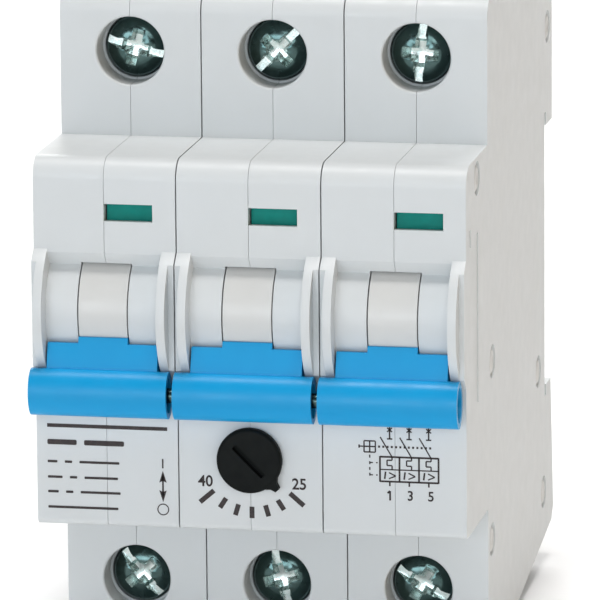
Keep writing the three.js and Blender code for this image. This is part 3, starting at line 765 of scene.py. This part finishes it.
# ---- flags, dial and screws ---------------------------------------------------------------------
def position_flag(index):
    """A plate with an arm at its back, green on its lower part and red above the split."""
    x = POLE_X[index]
    name = f"position_flag_{index + 1}"
    x0, x1, z0, z1 = FLAG
    arm_x0, arm_x1, arm_z0, arm_z1 = FLAG_ARM
    flag = prism(name, rounded(x + x0, x + x1, z0, z1, 0.1), "Y", FLAG_FRONT, FLAG_BACK,
                 MATERIAL["flag_green"])
    join(flag, prism("t", rectangle(x + arm_x0, x + arm_x1, arm_z0, arm_z1), "Y",
                     FLAG_BACK - 0.4, FLAG_ARM_BACK))
    bm = bmesh.new()
    bm.from_mesh(flag.data)
    split = Vector((0, 0, FLAG_SPLIT_Z * MM))
    bmesh.ops.bisect_plane(bm, geom=bm.verts[:] + bm.edges[:] + bm.faces[:], plane_co=split,
                           plane_no=(0, 0, 1))
    for face in bm.faces:
        face.material_index = int(face.calc_center_median().z > split.z)
    bm.to_mesh(flag.data)
    bm.free()
    flag.data.materials.append(MATERIAL["flag_red"])
    soften(flag, 0.1, 2)
    return place_piece(flag, name, "flag", name)


def turned(obj, centre_x, centre_z, degrees):
    """Turns a finished mesh about a line along Y; positive degrees raise its +X side."""
    centre = Matrix.Translation((centre_x * MM, 0, centre_z * MM))
    obj.data.transform(centre @ Matrix.Rotation(math.radians(-degrees), 4, "Y") @ centre.inverted())
    return obj


def dial_tooth():
    """The pointer's outline beside the dial's rim, on its +X side before the dial is turned."""
    def flank(sign):
        foot, tip = math.radians(TOOTH_FOOT_DEG), math.radians(TOOTH_TIP_DEG)
        return [(DIAL_R * math.cos(foot), sign * DIAL_R * math.sin(foot)),
                (DIAL_R + 0.28, sign * 0.52),
                (TOOTH_TIP_R * math.cos(tip), sign * TOOTH_TIP_R * math.sin(tip))]

    points = [(TOOTH_ROOT, -1.0), *flank(-1), *reversed(flank(1)), (TOOTH_ROOT, 1.0)]
    return [(u, v + DIAL_Z) for u, v in points]


def dial():
    """The knob with its pointer and slot, its shaft through the nose and the cam at its end."""
    top = NOSE_Y - DIAL_PROUD
    base = NOSE_Y - CLEAR
    edge = arc(DIAL_R - DIAL_EDGE_R, top + DIAL_EDGE_R, DIAL_EDGE_R, 270, 360, 6)
    profile = [(0, top), *edge, (DIAL_R, base), (DIAL_SHAFT_R, base), (DIAL_SHAFT_R, DIAL_SHAFT_END),
               (0, DIAL_SHAFT_END)]
    knob = lathe("current_dial", profile, 96, (0, DIAL_Z), material=MATERIAL["dial"])
    join(knob, prism("t", dial_tooth(), "Y", top + 0.1, base),
         prism("t", circle(CAM_OFF, DIAL_Z, CAM_R, 24), "Y", DIAL_SHAFT_END - 0.1, CAM_END))
    slot = rounded(-DIAL_SLOT_HALF, DIAL_SLOT_HALF, DIAL_Z - DIAL_SLOT_WIDTH / 2,
                   DIAL_Z + DIAL_SLOT_WIDTH / 2, 0.1, 2)
    cut(knob, prism("t", slot, "Y", top - 1, top + DIAL_SLOT_DEPTH))
    soften(knob, 0.12, 3, 28)
    turned(knob, 0, DIAL_Z, DIAL_REST_DEG)
    return place_piece(knob, "dial", "dial", "current_dial")


def cross_cutter(x, z, across):
    """One bar of the cross, with sloping flanks and ends: along Z if across is true, or else X."""
    levels = ((CROSS_REACH, CROSS_HALF, HEAD_TOP_Y - 0.2),
              (CROSS_REACH * CROSS_TAPER, CROSS_FLOOR_HALF, HEAD_TOP_Y + CROSS_DEPTH))
    bm = bmesh.new()
    ends = []
    for along in (-1, 1):
        ring = []
        for reach, half, y in levels:
            for sign in (-1, 1):
                u, v = along * reach, sign * half
                u, v = (v, u) if across else (u, v)
                ring.append(bm.verts.new((x + u, y, z + v)))
        ends.append([ring[0], ring[1], ring[3], ring[2]])
    bm.faces.new(ends[0])
    bm.faces.new(ends[1])
    for i in range(4):
        j = (i + 1) % 4
        bm.faces.new((ends[0][i], ends[0][j], ends[1][j], ends[1][i]))
    return make("t", bm)


def thread_profile():
    """The shank's outline from the head down, as V grooves."""
    points, y = [], HEAD_BASE_Y + 1.2
    floor = SHANK_R - THREAD_DEPTH
    while y < SHANK_TIP_Y - 1.2:
        points += [(SHANK_R, y), (SHANK_R, y + 0.12), (floor, y + 0.36), (floor, y + 0.44)]
        y += THREAD_PITCH
    return points


def dome_y(radius):
    """The y of the dome's surface at this radius, between the points of its outline."""
    for (r0, drop0), (r1, drop1) in zip(DOME, DOME[1:]):
        if radius <= r1:
            return HEAD_TOP_Y + drop0 + (drop1 - drop0) * (radius - r0) / (r1 - r0)
    return HEAD_BASE_Y


def paint_recess_highlight(screw, x, z):
    """Gives the faces inside the slot and the cross a bright copy of the nickel: a painted highlight.
    """
    screw.data.materials.append(MATERIAL["recess_painted_highlight"])
    for face in screw.data.polygons:
        at = face.center / MM
        skin = dome_y(math.hypot(at.x - x, at.z - z)) + RECESS_SKIN
        if skin < at.y < HEAD_BASE_Y - HEAD_UNDERSIDE:
            face.material_index = 1


def terminal_screw(end, index):
    """A domed head with a slot and a cross, on a grooved shank, each screw at its own turn."""
    x, z = POLE_X[index], SCREW_Z * (1 if end == "line" else -1)
    name = f"{end}_screw_{index + 1}"
    profile = [*[(r, HEAD_TOP_Y + drop) for r, drop in DOME],
               (HEAD_R, HEAD_BASE_Y - 0.15), (HEAD_R - 0.15, HEAD_BASE_Y), (SHANK_R, HEAD_BASE_Y),
               *thread_profile(), (SHANK_R - 0.3, SHANK_TIP_Y - 0.5), (SHANK_R - 0.8, SHANK_TIP_Y),
               (0, SHANK_TIP_Y)]
    centre_hole = [(0, HEAD_TOP_Y - 0.3), (1.5, HEAD_TOP_Y - 0.3), (0.7, HEAD_TOP_Y + CROSS_DEPTH),
                   (0, HEAD_TOP_Y + CROSS_DEPTH + 0.2)]
    screw = lathe(name, profile, 64, (x, z), material=MATERIAL["screw"])
    slot = rectangle(x - 4.5, x + 4.5, HEAD_TOP_Y - 1, HEAD_TOP_Y + SLOT_DEPTH)
    cut(screw, prism("t", slot, "Z", z - SLOT_HALF, z + SLOT_HALF), cross_cutter(x, z, False),
        cross_cutter(x, z, True), lathe("t", centre_hole, 8, (x, z)))
    soften(screw, 0.07, 2, 24)
    # the slot and the cross get the painted highlight material
    paint_recess_highlight(screw, x, z)
    turned(screw, x, z, SLOT_DEG[end][index])
    return place_piece(screw, name, "screw", name)


def rivet(name):
    """A pin through all three poles with a dimpled, rounded head on each side."""
    y, z = RIVETS[name]
    end = PITCH + OUTER_WALL - 0.04
    right = [(0, end - 0.1), (0.62, end - 0.1), (0.85, end), (1.35, end - 0.04),
             (RIVET_HEAD_R, end - 0.2), (RIVET_HEAD_R, end - 0.5), (RIVET_R, end - 0.5)]
    profile = right + [(r, -t) for r, t in reversed(right)]
    pin = lathe(name, profile, 40, (y, z), "X", MATERIAL["rivet"])
    soften(pin, 0.05, 2)
    replaced = [name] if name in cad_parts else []
    return place_piece(pin, "housing", "rivet", *replaced)


def rail_clip(index):
    """The dark latch at the back, with two finger ribs, a hole for a blade and a sunk panel."""
    x = POLE_X[index]
    name = f"rail_clip_{index + 1}"
    low, high = (corner.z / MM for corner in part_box(name))
    side = [(CLIP_FRONT, low), (CLIP_BACK, low), (CLIP_BACK, high - 1.4), (CLIP_BACK - 1.2, high),
            (CLIP_FRONT, high)]
    clip = prism(name, side, "X", x - CLIP_HALF, x + CLIP_HALF, MATERIAL["clip"])
    for z in (low + 3.6, low + 5.4):
        rib = [(CLIP_BACK - 0.2, z), (CLIP_RIB_BACK, z + 0.5), (CLIP_RIB_BACK, z + 0.9),
               (CLIP_BACK - 0.2, z + 1.2)]
        join(clip, prism("t", rib, "X", x - 2.8, x + 2.8))
    blade_hole = rounded(x - 2.3, x + 2.3, low + 1.2, low + 3.0, 0.4)
    panel = rounded(x - 2.0, x + 2.0, low + 9, high - 3, 0.8)
    cut(clip, prism("t", blade_hole, "Y", 0, 8), prism("t", panel, "Y", CLIP_BACK - 1, 8))
    soften(clip, 0.2, 3)
    return place_piece(clip, name, "clip", name)


# ---- printed marks ------------------------------------------------------------------------------
class Print:
    """Flat marks on the nose's front plane, in (x, z), gathered into one piece."""

    def __init__(self, name):
        self.name, self.bm = name, bmesh.new()

    def fill(self, outline):
        add_prism(self.bm, outline, "Y", NOSE_Y - PRINT_T, NOSE_Y - PRINT_LIFT)

    def line(self, start, end, width):
        a, b = Vector(start), Vector(end)
        side = (b - a).normalized().orthogonal() * width * INK_SPREAD / 2
        self.fill([tuple(a + side), tuple(b + side), tuple(b - side), tuple(a - side)])

    def path(self, points, width):
        for a, b in zip(points, points[1:]):
            self.line(a, b, width)

    def ring(self, centre, radius, width, steps=40):
        outer, inner = (circle(*centre, radius + d, steps) for d in (width / 2, -width / 2))
        for i in range(steps):
            j = (i + 1) % steps
            self.fill([outer[i], outer[j], inner[j], inner[i]])

    def text(self, body, centre, height):
        """Adds the body's letters, this tall in mm, as thin raised shapes."""
        curve = bpy.data.curves.new("t", "FONT")
        curve.body, curve.align_x, curve.align_y = body, "CENTER", "CENTER"
        curve.size = height / LETTER_TALL
        curve.resolution_u, curve.offset = 6, height * LETTER_BOLD
        holder = bpy.data.objects.new("t", curve)
        bpy.context.scene.collection.objects.link(holder)
        bpy.context.view_layer.update()
        graph = bpy.context.evaluated_depsgraph_get()
        flat = bpy.data.meshes.new_from_object(holder.evaluated_get(graph))
        letters = bmesh.new()
        letters.from_mesh(flat)
        front = bmesh.ops.extrude_face_region(letters, geom=letters.faces[:])
        lift = [v for v in front["geom"] if isinstance(v, bmesh.types.BMVert)]
        bmesh.ops.translate(letters, verts=lift, vec=(0, 0, PRINT_T))
        letters.transform(Matrix.Translation((centre[0], NOSE_Y - PRINT_LIFT, centre[1]))
                          @ Matrix.Rotation(math.radians(90), 4, "X")
                          @ Matrix.Diagonal((LETTER_SQUEEZE, 1, 1, 1)))
        piece = bpy.data.meshes.new("t")
        letters.to_mesh(piece)
        letters.free()
        self.bm.from_mesh(piece)
        bpy.data.objects.remove(holder)

    def done(self):
        obj = make(self.name, self.bm, MATERIAL["ink"])
        return place_piece(obj, "housing", "dial")


def dial_scale():
    """The ticks under the dial, the first and last longer, and the two end values."""
    marks = Print("dial_scale")
    last = SCALE_TICKS - 1
    for i in range(SCALE_TICKS):
        angle = math.radians(SCALE_FROM_DEG + (SCALE_TO_DEG - SCALE_FROM_DEG) * i / last)
        radii = SCALE_LONG if i in (0, last) else SCALE_SHORT
        start, end = ((r * math.cos(angle) + SCALE_SHIFT, DIAL_Z + r * math.sin(angle)) for r in radii)
        marks.line(start, end, 0.46)
    marks.text("40", (-5.5, -16.4), 1.33)
    marks.text("25", (5.9, -16.4), 1.33)
    return marks.done()


def switch_marks():
    """The on and off symbols with their arrows, and plain bars in place of the lettering."""
    marks = Print("switch_marks")
    x = ARROWS_X
    marks.line((x, -13.85), (x, -15.0), 0.14)
    marks.line((x, -15.9), (x, -18.4), 0.16)
    for tip, base, notch in ((-15.3, -16.75, 0.2), (-19.15, -17.7, -0.2)):
        marks.fill([(x, tip), (x + 0.45, base), (x, base + notch), (x - 0.45, base)])
    marks.ring((x, -20.05), 0.66, 0.13)
    marks.fill(rectangle(BARS_LEFT, -10.1, -10.4, -9.95))
    for z, height, words in TEXT_BARS:
        left = BARS_LEFT
        for length in words:
            marks.fill(rounded(left, left + length, z - height / 6, z + height / 6, height / 12, 2))
            left += length + BARS_GAP
    return marks.done()


def diagram_grid(marks):
    """Two rows of boxes: overload heaters above, instantaneous trips below."""
    right = GRID_LEFT + 3 * GRID_CELL
    for i in range(4):
        x = GRID_LEFT + i * GRID_CELL
        marks.line((x, GRID_TOP + 0.06), (x, GRID_LOW - 0.06), GRID_THICK)
    for z, width in ((GRID_TOP, GRID_THICK), (GRID_MIDDLE, GRID_THIN), (GRID_LOW, GRID_THICK)):
        marks.line((GRID_LEFT, z), (right, z), width)


def diagram_column(marks, i):
    """One pole of the diagram: its contact and heater, its trip, and its two ends."""
    top, middle, low = GRID_TOP, GRID_MIDDLE, GRID_LOW
    x = GRID_LEFT + i * GRID_CELL + GRID_CELL * CONTACT_SHIFT
    marks.line((x - 1.42, top + 2.4), (x, top), 0.12)
    marks.path([(x, top), (x, top - 0.4), (x - 0.6, top - 0.4), (x - 0.6, top - 1.05),
                (x, top - 1.05), (x, middle)], 0.13)
    stem = GRID_LEFT + i * GRID_CELL + GRID_CELL / 2
    marks.line((stem - 0.5, middle - 0.25), (stem - 0.62, middle - 1.15), 0.16)
    marks.path([(stem - 0.1, middle - 0.35), (stem + 0.72, middle - 0.75),
                (stem - 0.1, middle - 1.1)], 0.12)
    marks.line((stem, low), (stem, low - 0.55), 0.15)
    marks.line((stem, top + 3.7), (stem, top + 2.2), 0.14)
    marks.line((stem - 0.32, top + 2.2), (stem + 0.32, top + 2.2), 0.13)
    marks.line((stem - 0.3, top + 3.55), (stem + 0.3, top + 3.05), 0.12)
    marks.line((stem - 0.3, top + 3.05), (stem + 0.3, top + 3.55), 0.12)


def terminal_number(marks, i):
    """1, 3 and 5 under the columns; the 1 is drawn from listed strokes, a flag and a stem."""
    x = NUMBER_LEFT + NUMBER_STEP * i
    if i:
        marks.text(str(2 * i + 1), (x, NUMBER_Z), 1.16)
    else:
        marks.path([(x - 0.28, NUMBER_Z + 0.3), (x + 0.03, NUMBER_Z + 0.58),
                    (x + 0.03, NUMBER_Z - 0.58)], 0.17)


def hand_drive(marks):
    """The handle's symbol left of the diagram, with the broken lines of its linkage."""
    x, z, half = HAND_X, HAND_Z, HAND_HALF
    for u in (-half, 0, half):
        marks.line((x + u, z - half), (x + u, z + half), 0.13)
        marks.line((x - half, z + u), (x + half, z + u), 0.13)
    grip = x - half - 0.6
    marks.line((grip, z), (x - half, z), 0.12)
    marks.line((grip, z - 0.2), (grip, z + 0.2), 0.13)
    for dash in (-12.4, -13.2, -13.9, -14.6):
        marks.line((x, dash), (x, dash - 0.36), 0.12)
    for branch in (-13.35, -14.85):
        marks.line((x, branch), (x + 0.38, branch), 0.11)
        marks.line((x + 0.75, branch), (x + 0.95, branch), 0.11)


def circuit_marks():
    """A generic three-pole diagram: contacts, overload heaters and instantaneous trips."""
    marks = Print("circuit_marks")
    diagram_grid(marks)
    for i in range(3):
        diagram_column(marks, i)
        terminal_number(marks, i)
    for i in range(DOTS):
        x = GRID_LEFT - 0.1 + i * DOT_STEP
        marks.fill(rectangle(x - DOT_HALF, x + DOT_HALF, -11.51, -11.25))
    hand_drive(marks)
    return marks.done()


# ---- inner pieces that keep their CAD shape -----------------------------------------------------
def finish_cad_node(name, material):
    """Gives a CAD mesh its material and rounds its edges."""
    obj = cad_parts[name]
    obj.data.materials.clear()
    obj.data.materials.append(MATERIAL[material])
    weld = obj.modifiers.new("weld", "WELD")
    weld.merge_threshold = 1e-6
    flat = obj.modifiers.new("flat", "DECIMATE")
    flat.decimate_type, flat.angle_limit = "DISSOLVE", math.radians(0.5)
    step = obj.modifiers.new("soften", "BEVEL")
    step.limit_method, step.angle_limit = "ANGLE", math.radians(35)
    step.width, step.segments = CAD_EDGE * MM, 2
    obj.data.shade_smooth()
    normals = obj.modifiers.new("normals", "WEIGHTED_NORMAL")
    normals.keep_sharp = True


INNER = {
    "line_cage": "steel", "load_cage": "steel", "line_bar": "copper", "load_bar": "copper",
    "arc_chute": "steel", "trip_coil": "coil", "trip_plunger": "steel", "bimetal_strip": "bimetal",
    "contact_arm": "copper",
}


# ---- assembly, stage and camera -----------------------------------------------------------------
def build():
    """Every visible piece; the inner ones keep their CAD meshes."""
    for index in range(3):
        shell(index, -1, f"left_shell_{index + 1}")
        shell(index, 1, f"right_shell_{index + 1}")
        toggle(index)
        toggle_drum(index)
        position_flag(index)
        terminal_screw("line", index)
        terminal_screw("load", index)
        rail_clip(index)
        for base, material in INNER.items():
            finish_cad_node(f"{base}_{index + 1}", material)
    finish_cad_node("trip_bar", "dial")
    tie_pin()
    dial()
    for name in RIVETS:
        rivet(name)
    dial_scale()
    switch_marks()
    circuit_marks()


def stage():
    """A plain light floor just under the part, running far back."""
    floor_z = CAD_BOX[0].z - FLOOR_GAP
    bpy.ops.mesh.primitive_plane_add(size=FLOOR_SIZE, location=(0, 1.5, floor_z))
    floor = bpy.context.object
    floor.name = "floor"
    paint = Shader("floor_paint", (0.93, 0.93, 0.93), 0.7)
    paint.mottle(3, 0.02).uneven(8, 0.65, 0.8)
    floor.data.materials.append(paint.material)


def area_light(name, location, target, size, power, colour=(1, 1, 1)):
    data = bpy.data.lights.new(name, "AREA")
    data.shape, data.size, data.size_y = "RECTANGLE", size[0], size[1]
    data.energy, data.color = power, colour
    lamp = bpy.data.objects.new(name, data)
    lamp.location = location
    lamp.rotation_euler = (Vector(target) - Vector(location)).to_track_quat("-Z", "Y").to_euler()
    bpy.context.scene.collection.objects.link(lamp)


def sky():
    world = bpy.data.worlds.new("studio")
    bpy.context.scene.world = world
    world.use_nodes = True
    background = world.node_tree.nodes["Background"]
    background.inputs["Color"].default_value = (1.0, 1.0, 0.95, 1)
    background.inputs["Strength"].default_value = SKY_LEVEL


def lighting():
    """A soft box overhead, a cool one low in front, a small key, a warm fill and a floor wash."""
    sky()
    middle = (0, -0.04, 0)
    area_light("top", (0.0, -0.12, 1.1), middle, (0.5, 0.4), 8.8, (1.0, 0.98, 0.97))
    area_light("front_low", (-0.2, -1.1, 0.06), middle, (0.7, 0.4), 4.3, (0.85, 0.92, 1.0))
    area_light("key", (0.26, -1.0, 0.42), middle, (0.42, 0.36), 1.7, (0.92, 0.96, 1.0))
    area_light("fill_right", (1.05, -0.45, 0.3), middle, (0.6, 0.6), 1.0, (1.0, 0.52, 0.10))
    area_light("floor_wash", (0.0, 1.4, 0.9), (0.0, 1.2, -0.04), (1.0, 0.8), 25.0)


def camera():
    """Looks at the front from the right and above, as in the photograph."""
    yaw, pitch, roll = (math.radians(v) for v in (CAMERA_YAW, CAMERA_PITCH, CAMERA_ROLL))
    ahead = Vector((-math.sin(yaw) * math.cos(pitch), math.cos(yaw) * math.cos(pitch),
                    -math.sin(pitch)))
    level = Vector((math.cos(yaw), math.sin(yaw), 0))
    upward = level.cross(ahead)
    right = math.cos(roll) * level + math.sin(roll) * upward
    up = -math.sin(roll) * level + math.cos(roll) * upward
    data = bpy.data.cameras.new("camera")
    data.lens, data.sensor_width = CAMERA_LENS, CAMERA_SENSOR
    data.clip_start, data.clip_end = 0.01, 20
    cam = bpy.data.objects.new("camera", data)
    turn = Matrix((right, up, -ahead)).transposed().to_4x4()
    cam.matrix_world = Matrix.Translation(CAMERA_PLACE) @ turn
    bpy.context.scene.collection.objects.link(cam)
    bpy.context.scene.camera = cam
    bpy.context.scene.view_settings.view_transform = "Standard"   # plain colours, no film curve


camera()
build()
stage()
lighting()
